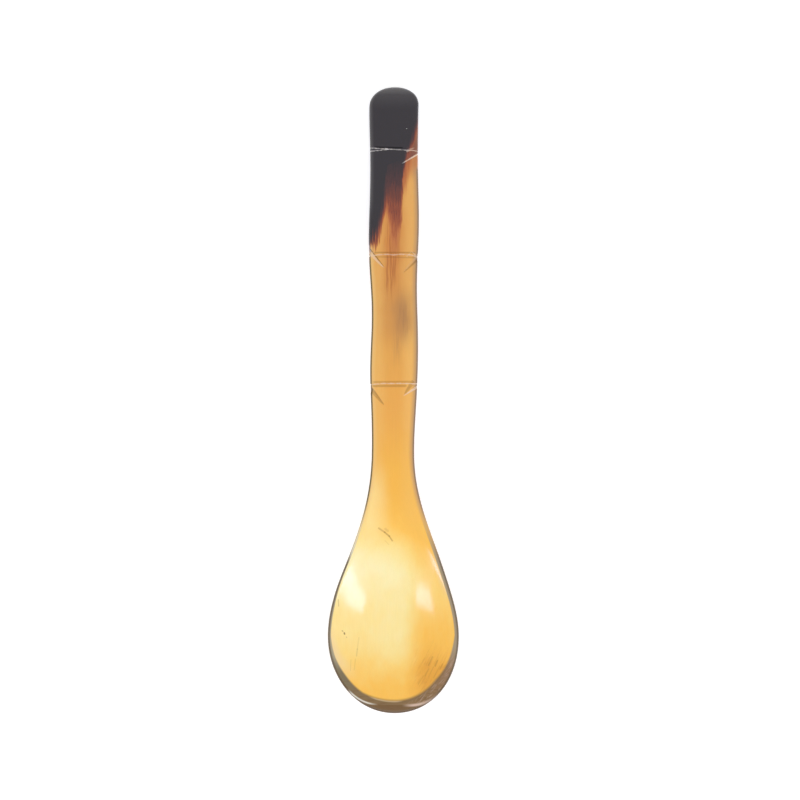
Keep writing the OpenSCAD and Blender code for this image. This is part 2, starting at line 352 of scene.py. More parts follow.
def carve(skin):
    # depth of the carving below the smooth skin, how frosted the cut surface is, and the painted shade in it
    x, s = skin["x"], skin["s"]
    ring = np.arange(ringPoints)[None, :]
    front = ring <= topSteps + carving["frontOverrun"]
    depth = np.zeros(x.shape)
    frost = np.zeros(x.shape)
    score = np.zeros(x.shape)
    (slow, slowPace), (quick, quickPace) = carving["widthWobble"]
    wander, wanderPace = carving["backWander"]
    for groove in carving["grooves"]:
        path = np.array(groove["path"])
        onFront = np.interp(x, path[:, 0], path[:, 1])
        onBack = np.interp(x, path[[0, -1], 0], path[[0, -1], 1]) + wander * np.sin(x * wanderPace)
        backShare = ease((ring - topSteps) / carving["backBlend"])
        line = np.where(front, onFront, blend(onFront, onBack, backShare))
        outward = (np.abs(x) / path[-1, 0]) ** carving["sideGrowth"]
        wobble = 1.0 + slow * np.sin(x * slowPace + path[0, 1]) + quick * np.sin(x * quickPace)
        halfWidth = blend(groove["width"], groove["sideWidth"], outward) / 2 * wobble
        cut = vCut(np.abs(s - line), halfWidth)
        depth = np.maximum(depth, groove["depth"] * cut)
        frost = np.maximum(frost, ease(cut * carving["grooveHardness"]) * groove["frost"])
    for start, end, sideWidths, cutDepth, frosts, sideShades in carving["nicks"]:
        beside, along = strokeDistance(x, s, start, end)
        taper = np.sqrt(np.clip(1.0 - along, 0.0, 1.0)) * (along > -carving["nickOverrun"])
        for sign, width, sideFrost, sideShade in zip((-1, 1), sideWidths, frosts, sideShades):
            cut = np.where(front & (beside * sign >= 0), vCut(np.abs(beside), width * taper), 0.0)
            depth = np.maximum(depth, cutDepth * cut * taper)
            shown = ease(cut * carving["nickHardness"]) * ease(taper * carving["taperHardness"])
            frost = np.maximum(frost, shown * sideFrost)
            score = np.maximum(score, shown * sideShade)
    for start, end, width, darkness in carving["scores"]:
        beside, along = strokeDistance(x, s, start, end)
        endFade = ease((0.5 - np.abs(along - 0.5)) * carving["scoreEnds"])
        cut = np.where(front, vCut(np.abs(beside), width / 2) * endFade, 0.0)
        score = np.maximum(score, ease(cut * carving["scoreHardness"]) * darkness)
        depth = np.maximum(depth, carving["scoreDepth"] * cut)
    return depth, frost, score


def skinFaces(rayCount):
    # quads between neighbouring rays; those at the hub of a fan turn into triangles when it is welded
    quads = []
    for ray in range(rayCount):
        here = ray * ringPoints
        beside = (ray + 1) % rayCount * ringPoints
        for step in range(ringPoints - 1):
            quads.append((here + step, beside + step, beside + step + 1, here + step + 1))
    return quads


def makeSpoon():
    skin = smoothSkin()
    normals = skinNormals(skin["x"], skin["s"], skin["z"])
    depth, frost, score = carve(skin)
    x = skin["x"] - normals[..., 0] * depth
    y = spoonLength / 2 - skin["s"] - normals[..., 1] * depth
    z = skin["z"] - normals[..., 2] * depth
    points = np.stack([x, y, z], axis=-1).reshape(-1, 3) * mm
    mesh = bpy.data.meshes.new("hornSpoon")
    mesh.from_pydata(points.tolist(), [], skinFaces(skin["x"].shape[0]))
    step = np.arange(ringPoints)
    turn = np.where(step <= topSteps, step / topSteps, 1 + (step - topSteps) / skinDetail["bellySteps"])
    fields = {
        "frost": frost,
        "score": score,
        "dish": skin["dish"],
        "fromEdge": skin["fromEdge"],
        "rimPlace": skin["rimPlace"],
        "crease": skin["crease"],
        "turn": np.repeat(turn[None, :], skin["x"].shape[0], axis=0),
    }
    for name, values in fields.items():
        layer = mesh.attributes.new(name, "FLOAT", "POINT")
        layer.data.foreach_set("value", values.reshape(-1).astype(np.float32))
    spoon = bpy.data.objects.new("hornSpoon", mesh)
    bpy.context.scene.collection.objects.link(spoon)
    weldMiddle(spoon)
    for polygon in mesh.polygons:
        polygon.use_smooth = True
    triangles = sum(len(polygon.vertices) - 2 for polygon in mesh.polygons)
    print("spoon drawn:", len(mesh.vertices), "points,", triangles, "triangles")
    return spoon


def weldMiddle(spoon):
    # the two halves share the middle line, and the fans share their hubs
    work = bmesh.new()
    work.from_mesh(spoon.data)
    bmesh.ops.remove_doubles(work, verts=work.verts, dist=skinDetail["weld"] * mm)
    bmesh.ops.dissolve_degenerate(work, dist=skinDetail["sliver"] * mm, edges=work.edges)
    bmesh.ops.recalc_face_normals(work, faces=work.faces)
    work.to_mesh(spoon.data)
    work.free()


# small helpers for materials

def node(tree, kind, inputs=None, **settings):
    # one shader node; an input is a plain value or the output that feeds it
    made = tree.nodes.new(kind)
    for name, value in settings.items():
        setattr(made, name, value)
    for name, value in (inputs or {}).items():
        feed(tree, made.inputs[name], value)
    return made


def feed(tree, socket, value):
    if isinstance(value, bpy.types.NodeSocket):
        tree.links.new(value, socket)
    else:
        socket.default_value = value


def calc(tree, operation, a, b=0.0):
    return node(tree, "ShaderNodeMath", {0: a, 1: b}, operation=operation).outputs[0]


def product(tree, *values):
    total = values[0]
    for value in values[1:]:
        total = calc(tree, "MULTIPLY", total, value)
    return total


def shifted(tree, base, by, amount):
    # base, moved by so much of another value
    return calc(tree, "ADD", base, calc(tree, "MULTIPLY", by, amount))


def without(tree, share):
    return calc(tree, "SUBTRACT", 1.0, share)


def most(tree, *values):
    largest = values[0]
    for value in values[1:]:
        largest = calc(tree, "MAXIMUM", largest, value)
    return largest


def rise(tree, value, low, high):
    # 0 below low, 1 above high, smooth between; high may be the smaller one
    made = node(tree, "ShaderNodeMapRange", {"Value": value, "From Min": low, "From Max": high},
                interpolation_type="SMOOTHSTEP", clamp=True)
    return made.outputs["Result"]


def hump(tree, value, centre, reach):
    # 1 at centre, fading to 0 at reach on both sides
    away = calc(tree, "ABSOLUTE", calc(tree, "SUBTRACT", value, centre))
    return rise(tree, away, reach, 0.0)


def overlay(tree, share, under, over):
    # the mix's sockets for colour are 6 and 7, and its result 2
    made = node(tree, "ShaderNodeMix", data_type="RGBA")
    feed(tree, made.inputs[0], share)
    feed(tree, made.inputs[6], under)
    feed(tree, made.inputs[7], over)
    return made.outputs[2]


def field(tree, name):
    return node(tree, "ShaderNodeAttribute", attribute_name=name).outputs["Fac"]


def ramp(tree, value, stops, interpolation):
    made = node(tree, "ShaderNodeValToRGB", {"Fac": value})
    made.color_ramp.interpolation = interpolation
    points = made.color_ramp.elements
    while len(points) < len(stops):
        points.new(1.0)                 # moved to its place below
    for point, (place, colour) in zip(points, stops):
        point.position = place
        point.color = colour
    return made.outputs["Color"]


def curveAlong(tree, s, marks):
    # a value that follows marks (place in mm, value) along the spoon
    reach = marks[-1][0]
    low = min(value for place, value in marks)
    high = max(value for place, value in marks)
    stops = [(place / reach, ((value - low) / (high - low),) * 3 + (1.0,)) for place, value in marks]
    share = ramp(tree, calc(tree, "DIVIDE", s, reach), stops, "LINEAR")
    return calc(tree, "ADD", calc(tree, "MULTIPLY", share, high - low), low)


def stroke(tree, x, s, start, end, width):
    # mask of a thin straight mark between two places
    core = 0.2      # share of the width that is fully dark
    dx, ds = end[0] - start[0], end[1] - start[1]
    offX = calc(tree, "SUBTRACT", x, start[0])
    offS = calc(tree, "SUBTRACT", s, start[1])
    dot = calc(tree, "ADD", calc(tree, "MULTIPLY", offX, dx), calc(tree, "MULTIPLY", offS, ds))
    share = calc(tree, "DIVIDE", dot, dx * dx + ds * ds)
    along = node(tree, "ShaderNodeClamp", {"Value": share}).outputs[0]
    awayX = calc(tree, "SUBTRACT", offX, calc(tree, "MULTIPLY", along, dx))
    awayS = calc(tree, "SUBTRACT", offS, calc(tree, "MULTIPLY", along, ds))
    squared = calc(tree, "ADD", product(tree, awayX, awayX), product(tree, awayS, awayS))
    return rise(tree, calc(tree, "SQRT", squared), width, width * core)


# the horn's tones: 0 to 255 screen values as seen under the studio lights

hornTones = {
    # amber down the middle of the spoon: place in millimetres, tone
    "amber": (
        (0, (206, 140, 76)), (45, (211, 145, 78)), (62, (212, 152, 84)), (72, (228, 167, 86)),
        (82, (233, 170, 86)), (106, (243, 184, 82)), (120, (253, 204, 102)), (165, (246, 192, 92)),
    ),
    # the bowl from deep amber to where the light comes through
    "bowl": (
        (0.0, (244, 184, 80)), (0.22, (252, 197, 94)), (0.5, (253, 214, 126)),
        (0.75, (253, 230, 160)), (1.0, (253, 240, 188)),
    ),
    # the dark pigment from a thin stain to black
    "pigment": (
        (0.0, (214, 148, 82)), (0.14, (196, 125, 76)), (0.28, (174, 102, 67)), (0.44, (147, 81, 62)),
        (0.6, (116, 69, 61)), (0.78, (86, 61, 63)), (1.0, (59, 56, 61)),
    ),
    "straw": (241, 192, 114),
    "bowlDeep": (228, 164, 66),
    "bowlPale": (254, 226, 158),
    "bowlStreak": (192, 130, 60),
    "smudge": (176, 128, 84),
    "fibreDark": (158, 88, 54),
    "fibreWash": (200, 122, 68),
    "redWash": (184, 118, 80),
    "redInner": (116, 71, 68),
    "redEdge": (136, 91, 76),
    "endGrey": (106, 104, 108),
    # painted shade along the handle's edges, then painted reflections beside them
    "edgeShadeLeft": (98, 92, 74),
    "edgeShadeRight": (142, 120, 102),
    "reflectionLeft": (240, 198, 132),
    "reflectionRight": (176, 142, 110),
    # painted shade round the rim: its land, bevel and outer edge
    "rimLeft": (126, 114, 90),
    "rimRight": (145, 115, 86),
    "rimRightSide": (163, 147, 124),
    "rimSoft": (168, 158, 136),
    "rimBottom": (136, 109, 76),
    "rimInner": (128, 106, 74),
    "rimBevel": (120, 93, 63),
    "rimOuter": (104, 86, 64),
    "rimOuterSide": (116, 104, 90),
    # paler bands inside the rim, and the painted highlight along the lip
    "rimHalo": (240, 214, 172),
    # painted highlights along the rim's crease
    "creaseHighlightLeft": (226, 221, 212),
    "creaseHighlightRight": (212, 186, 170),
    "rubbed": (182, 154, 138),
    "frostOnDark": (224, 218, 220),
    "frostOnAmber": (236, 208, 184),
    # painted shade in the cuts
    "score": (134, 100, 66),
    "cutShadeOnBlack": (44, 39, 44),
    "crack": (140, 100, 44),
    "speck": (96, 74, 44),
    "chip": (206, 205, 210),
}

hornFinish = {
    "polishHaze": 0.03,                 # white that the polish adds everywhere, taken off each tone
    "lightLevel": (0.95, 0.955, 1.04),  # red, green and blue that reach the spoon
    "darkest": 0.002,
    "roughness": 0.14,
    "smearRoughness": 0.1,              # how much the smears of the polish change it
    "cutRoughness": 0.4,                # how much the frosted cuts add to it
    "specular": 0.5,
    "edgeDulling": 0.85,                # share of the mirrored room that the thin edges lose
    "scoreDulling": 0.7,                # and that the scores lose
    "ior": 1.54,
    "subsurface": 0.1,
    "scatter": (1.0, 0.5, 0.2),         # how far red, green and blue light wander, relative
    "scatterScale": 1.0 * mm,
    "reliefStrength": 0.25,
    "waveHeight": 0.2,                  # heights of the relief, in millimetres
    "fibreHeight": 0.006,
    "rubHeight": 0.004,
}


def tone(name):
    # one of the tones above, as the colour that looks so on the polished spoon
    return seenTone(*hornTones[name])


def seenTone(red, green, blue):
    # the usual curve from screen values to light, then what the polish and the lamps add taken off
    parts = []
    for value, light in zip((red, green, blue), hornFinish["lightLevel"]):
        level = value / 255
        linear = level / 12.92 if level <= 0.04045 else ((level + 0.055) / 1.055) ** 2.4
        parts.append(max(hornFinish["darkest"], (linear - hornFinish["polishHaze"]) / light))
    return (*parts, 1.0)


def toneRamp(tree, value, name, reach=1.0, interpolation="LINEAR"):
    stops = [(place / reach, seenTone(*values)) for place, values in hornTones[name]]
    return ramp(tree, value, stops, interpolation)


# the horn's grains: scales per millimetre across, along and through it, detail and roughness of the noise,
# degrees that it leans to the right, and the levels between which the noise becomes streaks from 0 to 1

hornGrain = {
    "drift": {"scales": (0.15, 0.09, 0.15), "detail": 2.0, "roughness": 0.5},
    "sway": {"scales": (0.2, 0.12, 0.2), "detail": 2.0, "roughness": 0.5},
    "fibre": {"scales": (2.4, 0.1, 1.2), "detail": 3.0, "roughness": 0.6},
    "fineFibre": {"scales": (6.0, 0.12, 3.0), "detail": 3.0, "roughness": 0.65},
    "hair": {"scales": (3.4, 0.05, 1.0), "detail": 1.0, "roughness": 0.5, "streaks": (-0.04, 0.16)},
    "mottle": {"scales": (0.5, 0.25, 0.5), "detail": 3.0, "roughness": 0.5},
    "bowlStreaks": {"scales": (1.8, 0.22, 1.0), "detail": 4.0, "roughness": 0.6, "lean": 28.0,
                    "streaks": (-0.02, 0.16)},
    "rimVeins": {"scales": (0.3, 2.0, 0.5), "detail": 3.0, "roughness": 0.6, "streaks": (-0.02, 0.16)},
    "rimRubbing": {"scales": (2.8, 0.4, 1.0), "detail": 4.0, "roughness": 0.7, "lean": 42.0,
                   "streaks": (-0.02, 0.14)},
    "frostPatches": {"scales": (1.6, 1.6, 1.6), "detail": 2.0, "roughness": 0.6, "streaks": (-0.25, 0.05)},
    "smears": {"scales": (0.25, 0.25, 0.25), "detail": 3.0, "roughness": 0.6},
    "waves": {"scales": (0.22, 0.1, 0.22), "detail": 2.0, "roughness": 0.5},
    "fibreRelief": {"scales": (6.0, 0.14, 3.0), "detail": 3.0, "roughness": 0.65},
    "rubRelief": {"scales": (3.0, 3.0, 3.0), "detail": 5.0, "roughness": 0.7},
}

# how far the grains carry the colours away, in millimetres, and how much they change them
hornStray = {
    "driftX": 3.0,
    "driftS": 8.0,
    "frayX": 1.6,
    "frayS": 12.0,
    "sway": 1.6,
    "mottle": 0.16,
    "fineFibre": 0.1,
    "bowlSlant": 0.7,                   # how much lower the bowl turns pale, for each millimetre rightwards
    "nickSlant": 0.6,                   # how much higher the red corner ends, for each millimetre rightwards
    "edgeLag": 3.2,                     # how much further the left black reaches along the very edge
    # what shows between the fibres, and how much the fibres change it
    "cloud": (0.85, 0.8),
    "stain": (0.3, 1.2),
    "wash": (0.4, 1.0),
    "frost": (0.5, 0.45),
}


def grain(tree, place, name):
    # one of the grains above: noise about zero, or streaks from 0 to 1
    made = hornGrain[name]
    if "lean" in made:
        rotation = (0.0, 0.0, math.radians(made["lean"]))
        place = node(tree, "ShaderNodeMapping", {"Vector": place, "Rotation": rotation}).outputs["Vector"]
    stretched = node(tree, "ShaderNodeMapping", {"Vector": place, "Scale": made["scales"]})
    texture = node(tree, "ShaderNodeTexNoise", {"Vector": stretched.outputs["Vector"], "Scale": 1.0,
                                                "Detail": made["detail"], "Roughness": made["roughness"]})
    level = calc(tree, "SUBTRACT", texture.outputs["Fac"], 0.5)
    if "streaks" in made:
        return rise(tree, level, *made["streaks"])
    return level


# where the dark pigment ends, in millimetres across the spoon, and how strong it is, at places along it

pigmentMarks = {
    "rightEdge": (
        (0, 9.5), (8.0, 7.3), (11.3, 6.15), (14.1, 5.35), (17.0, 3.95), (20.5, 3.15), (24.5, 2.4),
        (35, 2.1), (38, 1.7), (45, 1.4), (60, 1.2),
    ),
    "rightSoftness": ((0, 1.5), (14, 1.3), (19, 0.9), (24, 0.5), (35, 0.5), (42, 0.9), (60, 0.9)),
    "leftEdge": (
        (0, 9.0), (17.5, 9.0), (20.5, -0.4), (24, -1.2), (28.3, -1.75), (31.4, -2.15), (34.6, -3.0),
        (37.8, -3.8), (41.0, -4.1), (60, -9.0),
    ),
    "leftStrength": (
        (0, 1.0), (37.2, 1.0), (38.6, 0.88), (40.1, 0.66), (41.7, 0.36), (43.6, 0.0), (60, 0.0),
    ),
    "middleLeft": ((0, -9.0), (25, -9.0), (28, -3.2), (31, -2.2), (34.5, -1.5), (38, -1.1), (60, -1.3)),
    "middleStrength": (
        (0, 1.0), (17, 1.0), (20, 0.97), (23, 0.88), (25, 0.8), (28.3, 0.64), (31.4, 0.5), (34.6, 0.43),
        (37.8, 0.3), (41, 0.18), (45, 0.08), (60, 0.0),
    ),
    "fibreGain": ((0, 0.2), (20, 0.3), (27, 0.8), (33, 1.6), (60, 2.4)),
}

# how pale the bowl is at places along it
bowlPaleness = ((0, 0.0), (112, 0.6), (121, 0.95), (128, 1.0), (133, 0.86), (138, 0.8), (144, 0.8),
                (149, 0.7), (153.6, 0.48), (158, 0.26), (165, 0.14))

# single dark fibres below the pigment: start, end, width in millimetres, darkness
fibreLines = (
    ((-1.3, 43.0), (-1.7, 56.0), 0.3, 0.44),
    ((-0.3, 37.0), (-0.6, 57.0), 0.28, 0.52),
    ((0.4, 34.0), (0.35, 54.5), 0.26, 0.44),
    ((0.95, 37.5), (0.75, 53.5), 0.3, 0.52),
    ((1.6, 36.0), (1.5, 49.0), 0.34, 0.3),
)
fibreStart = (-0.5, 2.5)                # a fibre darkens between these distances past its start
fibreEnd = 6.0                          # and pales over this distance before its end

# the stain that trails below the cloud: start, end, width
stainStroke = ((1.6, 60.0), (0.6, 73.0), 2.0)

# small marks on the front, by tone: start, end, width in millimetres, darkness
hornMarks = {
    "crack": (
        ((-3.85, 116.3), (-2.3, 117.35), 0.36, 0.38),
        ((-2.3, 117.35), (-1.1, 118.4), 0.34, 0.5),
        ((-1.1, 118.4), (-0.3, 119.6), 0.3, 0.46),
        ((-2.1, 116.5), (-1.5, 117.0), 0.5, 0.22),
        ((-2.2, 119.6), (-1.2, 120.6), 0.22, 0.14),
        ((9.2, 152.4), (10.3, 150.2), 0.26, 0.3),
        ((9.7, 154.6), (10.5, 152.9), 0.22, 0.16),
        ((11.0, 152.6), (11.6, 151.2), 0.3, 0.36),
        ((8.3, 155.2), (9.3, 153.4), 0.3, 0.22),
        ((10.6, 155.6), (12.2, 152.6), 0.22, 0.2),
        ((6.6, 157.3), (7.9, 155.2), 0.26, 0.16),
        ((12.3, 153.4), (12.9, 152.0), 0.24, 0.2),
    ),
    "speck": (
        ((-13.5, 143.3), (-13.3, 143.5), 0.22, 0.45),
        ((-12.95, 143.9), (-12.85, 144.2), 0.28, 0.8),
        ((-12.4, 145.0), (-12.3, 145.1), 0.2, 0.3),
        ((-9.1, 145.2), (-9.5, 148.2), 0.26, 0.12),
        ((-9.5, 148.2), (-9.7, 150.0), 0.26, 0.2),
        ((-10.0, 150.8), (-10.3, 153.6), 0.24, 0.12),
        ((-11.2, 151.0), (-11.3, 153.8), 0.2, 0.12),
        ((-14.5, 135.1), (-14.4, 136.8), 0.24, 0.28),
    ),
    "chip": (
        ((3.45, 11.0), (3.55, 11.0), 0.15, 0.55),
    ),
}

# the patches of colour: tone, strength, then all that each fades over, as (what, none at, full at)
# or (what, "around", middle, reach); lengths in millimetres, x to the right, s from the handle's end,
# bentX and bentS drifting with the grain; a patch without a tone only limits another
hornPatches = {
    # amber, paler away from the middle but less so to the right past the neck
    "straw": ("straw", 0.5, ("offMiddle", 1.0, 4.4)),
    "rightPastNeck": (None, 0.4, ("x", 0.0, 2.0), ("s", 90.0, 100.0)),
    # the bowl: where it starts, turns pale and is held back at its sides
    "bowl": (None, 1.0, ("slanted", 104.0, 118.0)),
    "paleFront": (None, 1.0, ("slanted", 106.0, 131.0)),
    "rightShade": (None, 0.3, ("bentX", 1.5, 9.0)),
    "lowRightShade": (None, 0.4, ("bentX", 1.5, 9.0), ("bentS", 130.0, 146.0)),
    "leftShade": (None, 0.12, ("bentX", -1.0, -9.0), ("s", 128.0, 142.0)),
    "besideNeck": ("bowlPale", 0.75, ("bentX", 0.5, -6.5), ("s", 97.0, 108.0), ("s", 124.0, 114.0)),
    "deepRight": ("bowlDeep", 0.8, ("bentX", 3.0, 9.5), ("bentS", 147.0, 155.0)),
    "rightStreaks": ("bowlStreak", 0.32, ("bentX", 3.0, 8.5), ("bentS", 146.0, 153.0)),
    # grey-brown cloud in the third segment, and the stain below it
    "cloud": ("smudge", 1.0, ("bentX", "around", 2.6, 3.8), ("s", 51.5, 59.5), ("s", 71.0, 61.0)),
    "stain": ("smudge", 1.0, ("s", 76.0, 66.0)),
    # reddish wash and dark fibres down the middle
    "wash": ("fibreWash", 1.0, ("bentX", "around", -0.2, 2.8), ("s", 28.0, 38.0), ("s", 56.0, 42.0)),
    "hair": ("fibreDark", 0.6, ("bentX", "around", -0.2, 2.8), ("s", 28.0, 38.0), ("s", 60.0, 46.0)),
    "redWash": ("redWash", 0.85, ("s", 26.0, 19.5), ("x", 0.0, 3.0)),
    # the black: its thin fringe on the right, its middle and left lobes, and all of it
    "fringe": (None, 0.34, ("rightAway", -2.6, 0.4), ("s", 12.0, 18.0), ("s", 32.0, 22.0)),
    "middleLobe": (None, 1.0, ("rightSoft", -1.0, 1.0), ("middleAway", -0.8, 1.4)),
    "leftLobe": (None, 1.0, ("leftAway", -1.1, 1.2), ("rightSoft", -1.0, 1.0)),
    "edgeLag": (None, 1.0, ("fromEdge", 0.6, 0.15)),
    "black": (None, 1.0, ("density", 0.0, 0.2)),
    # red corner above the first nick, and grey sheen on the black's left edge and end
    "redCorner": (None, 0.95, ("nickSlanted", 22.2, 21.2), ("density", 0.6, 0.1), ("x", 0.0, 2.0)),
    "redAtEdge": ("redEdge", 1.0, ("fromEdge", 2.2, 0.3)),
    "edgeSheen": (None, 0.45, ("fromEdge", 1.3, 0.2), ("x", -3.0, -5.0), ("density", 0.7, 1.0),
                  ("s", 36.0, 28.0)),
    "endSheen": (None, 0.9, ("s", 3.2, 0.0)),
    "farEndSheen": (None, 0.34, ("s", 6.5, 0.0)),
    # the handle's edges: painted reflections in pale bands beside them, and thin lines of painted shade
    # along them
    "clear": (None, 1.0, ("density", 0.6, 0.1), ("s", 20.4, 22.5)),
    "handle": (None, 1.0, ("dish", 0.5, 0.1)),
    "strip": (None, 0.7, ("fromEdge", 1.7, 0.4)),
    "sideReflectionOnRight": ("reflectionRight", 1.0, ("x", -1.0, 1.0)),
    "line": (None, 0.95, ("fromEdge", 0.6, 0.25), ("turn", 1.3, 1.0)),
    "edgeShadeOnRight": ("edgeShadeRight", 1.0, ("x", -1.0, 1.0)),
    "thinEdge": (None, 1.0, ("fromEdge", 0.55, 0.15)),
    # the rim's painted shade, and paler bands just inside it
    "inBowl": (None, 1.0, ("dish", 0.1, 0.75), ("turn", 1.5, 1.12)),
    "leftHalo": ("rimHalo", 0.7, ("rimPlace", -2.2, -0.05), ("s", "around", 149.0, 9.0),
                 ("x", -8.0, -12.0)),
    "rightHalo": ("rimHalo", 0.6, ("rimPlace", -1.6, 0.0), ("s", "around", 128.5, 9.0), ("x", 5.0, 8.0)),
    "rim": (None, 1.0, ("rimReach", -0.2, 0.1)),
    "thinnerRim": (None, 0.3, ("x", 0.0, -4.0), ("s", 138.0, 130.0)),
    # the rim's flat land, from left to right, in painted shade where the thick horn looks grey-brown, with
    # rubbing scratches
    "rimOnRight": (None, 1.0, ("x", -6.0, 8.0)),
    "rimLowRight": ("rimRight", 1.0, ("s", 147.0, 154.0)),
    "rimSoft": ("rimSoft", 1.0, ("x", 0.0, -6.0), ("s", 155.0, 149.0), ("rimPlace", 0.9, 0.2)),
    "rimBottom": ("rimBottom", 0.85, ("s", 156.0, 161.5)),
    "rimVeins": ("rimBevel", 0.6, ("s", 155.0, 158.0)),
    "rimRubbing": ("rubbed", 0.6, ("x", 2.0, 8.0), ("s", 146.0, 152.0)),
    "rimInner": ("rimInner", 0.7, ("rimPlace", 0.3, 0.05), ("x", -9.0, -4.0), ("s", 150.0, 156.0)),
    # its bevel and outer edge in painted shade, and painted highlights along the crease and the lip
    "rimBevel": ("rimBevel", 1.0, ("crease", 0.12, -0.12)),
    "rimOuter": (None, 0.85, ("fromEdge", 0.8, 0.3)),
    "rimOuterLow": ("rimOuter", 1.0, ("s", 150.0, 157.0)),
    "leftShine": ("creaseHighlightLeft", 1.0, ("crease", "around", 0.05, 0.36), ("x", -12.2, -10.6),
                  ("x", -3.8, -7.0)),
    "rightShine": ("creaseHighlightRight", 1.0, ("crease", "around", -0.15, 0.6), ("x", 2.0, 5.6), ("x", 13.0, 5.8)),
    "lipHighlight": ("rimHalo", 0.45, ("rimPlace", "around", 0.05, 0.1), ("x", -7.0, -4.5), ("x", 3.0, 0.5),
            ("s", 150.0, 158.0)),
    # the cuts: painted shade on the scores and the nicks' dark sides, and their frosted floors
    "front": (None, 1.0, ("turn", 1.0, 0.98)),
    "cutShaded": (None, 0.85),
    "cutShadedOnBlack": ("cutShadeOnBlack", 1.0, ("density", 0.4, 0.9)),
    "frosted": (None, 1.0),
    "frostedBlack": ("frostOnDark", 1.0, ("density", 0.4, 0.9)),
}


def mask(tree, places, name, *others):
    # how much of a patch shows: its fades and whatever else limits it, times its strength
    strength, *fades = hornPatches[name][1:]
    shares = []
    for what, *span in fades:
        if span[0] == "around":
            shares.append(hump(tree, places[what], *span[1:]))
        else:
            shares.append(rise(tree, places[what], *span))
    return product(tree, *shares, *others, strength)


def paint(tree, colour, places, name, *others):
    # lay a patch's own tone over the colour
    return overlay(tree, mask(tree, places, name, *others), colour, tone(hornPatches[name][0]))


def throughFibres(tree, places, name):
    # a share that the fibres change
    between, change = hornStray[name]
    return shifted(tree, between, places["fibre"], change)


def hornPlaces(tree, place):
    # all that the patches fade over
    split = node(tree, "ShaderNodeSeparateXYZ", {0: place})
    x = split.outputs["X"]
    s = calc(tree, "SUBTRACT", spoonLength / 2, split.outputs["Y"])
    drift = grain(tree, place, "drift")
    bentX = shifted(tree, x, drift, hornStray["driftX"])
    bentS = shifted(tree, s, drift, hornStray["driftS"])
    places = {
        "x": x,
        "s": s,
        "bentX": bentX,
        "bentS": bentS,
        "offMiddle": calc(tree, "ABSOLUTE", bentX),
        "slanted": shifted(tree, bentS, bentX, -hornStray["bowlSlant"]),
        "nickSlanted": shifted(tree, s, x, hornStray["nickSlant"]),
        "fibre": grain(tree, place, "fibre"),
        "fineFibre": grain(tree, place, "fineFibre"),
    }
    for name in ("turn", "dish", "fromEdge", "rimPlace", "crease", "frost", "score"):
        places[name] = field(tree, name)
    places["density"] = pigmentDensity(tree, places)
    places["rimReach"] = calc(tree, "SUBTRACT", places["rimPlace"], mask(tree, places, "thinnerRim"))
    return places


def pigmentDensity(tree, places):
    # 0 where the horn is clear amber, 1 where it is black; distances are positive inside the black
    s, fibre, marks = places["s"], places["fibre"], pigmentMarks
    frayed = shifted(tree, places["x"], fibre, hornStray["frayX"])
    ragged = shifted(tree, s, fibre, hornStray["frayS"])
    right = calc(tree, "SUBTRACT", curveAlong(tree, s, marks["rightEdge"]), frayed)
    softness = curveAlong(tree, s, marks["rightSoftness"])
    inside = {
        **places,
        "rightAway": right,
        "rightSoft": calc(tree, "DIVIDE", right, softness),
        "leftAway": calc(tree, "SUBTRACT", curveAlong(tree, s, marks["leftEdge"]), frayed),
        "middleAway": calc(tree, "SUBTRACT", frayed, curveAlong(tree, s, marks["middleLeft"])),
    }
    gain = curveAlong(tree, s, marks["fibreGain"])
    streaks = calc(tree, "ADD", product(tree, places["fineFibre"], gain), 1.0)
    middleStrength = curveAlong(tree, s, marks["middleStrength"])
    lagging = shifted(tree, ragged, mask(tree, places, "edgeLag"), -hornStray["edgeLag"])
    leftStrength = curveAlong(tree, lagging, marks["leftStrength"])
    densest = most(tree, mask(tree, inside, "middleLobe", streaks, middleStrength),
                   mask(tree, inside, "leftLobe", leftStrength), mask(tree, inside, "fringe"))
    return node(tree, "ShaderNodeClamp", {"Value": densest}).outputs[0]


def amberColour(tree, places):
    lengthShare = calc(tree, "DIVIDE", places["s"], spoonLength)
    colour = toneRamp(tree, lengthShare, "amber", spoonLength, "EASE")
    return paint(tree, colour, places, "straw", without(tree, mask(tree, places, "rightPastNeck")))


def bowlColour(tree, colour, place, places):
    # paler where it is thin, with a slanting front from upper left to lower right
    towardTip = curveAlong(tree, places["bentS"], bowlPaleness)
    rightShade = calc(tree, "ADD", mask(tree, places, "rightShade"), mask(tree, places, "lowRightShade"))
    paleness = product(tree, mask(tree, places, "paleFront"), towardTip, without(tree, rightShade),
                       without(tree, mask(tree, places, "leftShade")))
    mottled = shifted(tree, paleness, grain(tree, place, "mottle"), hornStray["mottle"])
    colour = overlay(tree, mask(tree, places, "bowl"), colour, toneRamp(tree, mottled, "bowl"))
    colour = paint(tree, colour, places, "besideNeck")
    colour = paint(tree, colour, places, "deepRight")
    return paint(tree, colour, places, "rightStreaks", grain(tree, place, "bowlStreaks"))


